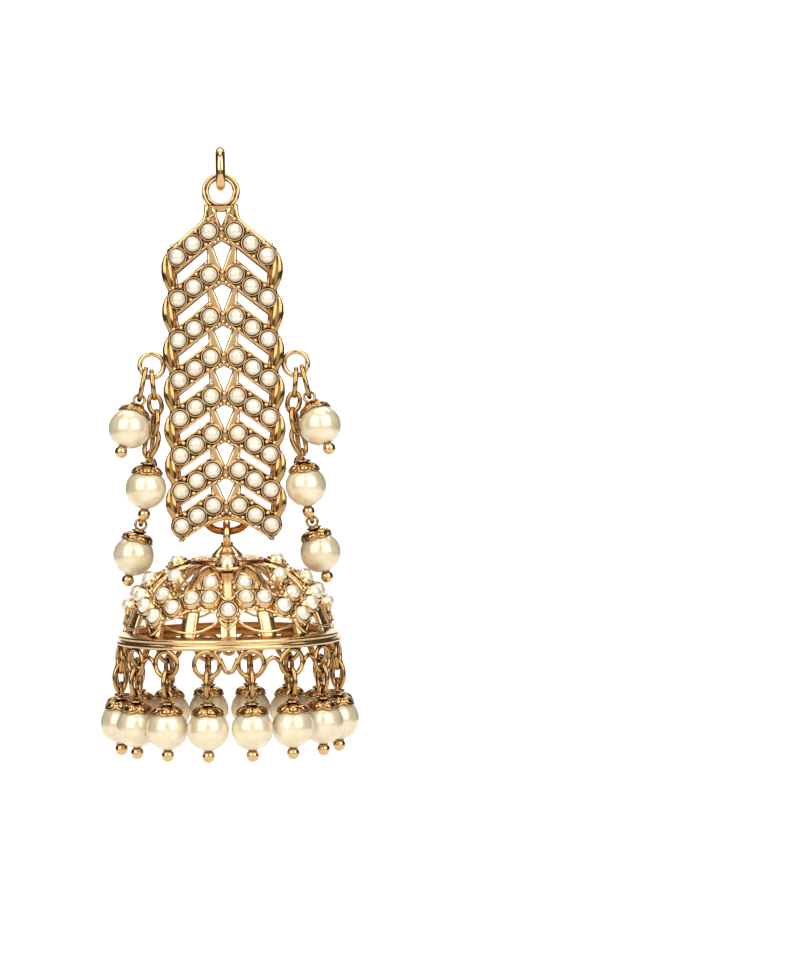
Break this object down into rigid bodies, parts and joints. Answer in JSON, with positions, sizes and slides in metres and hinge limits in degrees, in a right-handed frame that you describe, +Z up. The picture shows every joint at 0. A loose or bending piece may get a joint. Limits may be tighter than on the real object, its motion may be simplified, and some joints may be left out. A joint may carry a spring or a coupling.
{
  "type": "jhumka earring",
  "caption": "Long drop earring: a hanging ring, a pierced plaque set with half pearls, pearl strands at its sides, and a pierced bell with a fringe of pearl drops.",
  "frame": {"origin": "the top of the hanging ring's hole, where the ring rests on the wire that holds it", "axes": "+Z up, -Y the face of the plaque, +X to its right as seen from the front"},
  "size_m": [0.0374, 0.0375, 0.088],
  "materials": {
    "gold": "polished gold plating, darkened in its recesses",
    "pearl": "ivory pearl lustre"
  },
  "bodies": {
    "hanging_ring": {"hanging_ring": "gold"},
    "plaque": {"plaque": "gold", "left_link": "gold", "right_link": "gold", "left_chain": "gold", "right_chain": "gold", "left_pearl_1": "pearl", "left_pearl_2": "pearl", "left_pearl_3": "pearl", "right_pearl_1": "pearl", "right_pearl_2": "pearl", "right_pearl_3": "pearl"},
    "dome": {"dome": "gold", "rim_link_01": "gold", "rim_link_02": "gold", "rim_link_03": "gold", "rim_link_04": "gold", "rim_link_05": "gold", "rim_link_06": "gold", "rim_link_07": "gold", "rim_link_08": "gold", "rim_link_09": "gold", "rim_link_10": "gold", "rim_link_11": "gold", "rim_link_12": "gold", "rim_link_13": "gold", "rim_link_14": "gold", "rim_link_15": "gold", "rim_link_16": "gold", "rim_pearl_01": "pearl", "rim_pearl_02": "pearl", "rim_pearl_03": "pearl", "rim_pearl_04": "pearl", "rim_pearl_05": "pearl", "rim_pearl_06": "pearl", "rim_pearl_07": "pearl", "rim_pearl_08": "pearl", "rim_pearl_09": "pearl", "rim_pearl_10": "pearl", "rim_pearl_11": "pearl", "rim_pearl_12": "pearl", "rim_pearl_13": "pearl", "rim_pearl_14": "pearl", "rim_pearl_15": "pearl", "rim_pearl_16": "pearl"}
  },
  "joints": [
    {"name": "plaque_swing", "type": "hinge", "parent": "hanging_ring", "child": "plaque", "pos_m": [0, 0, -0.00288], "axis": [1, 0, 0], "range_deg": [-75, 75]},
    {"name": "dome_swing", "type": "hinge", "parent": "plaque", "child": "dome", "pos_m": [0, 0.00231, -0.05444], "axis": [1, 0, 0], "range_deg": [-45, 45]}
  ]
}
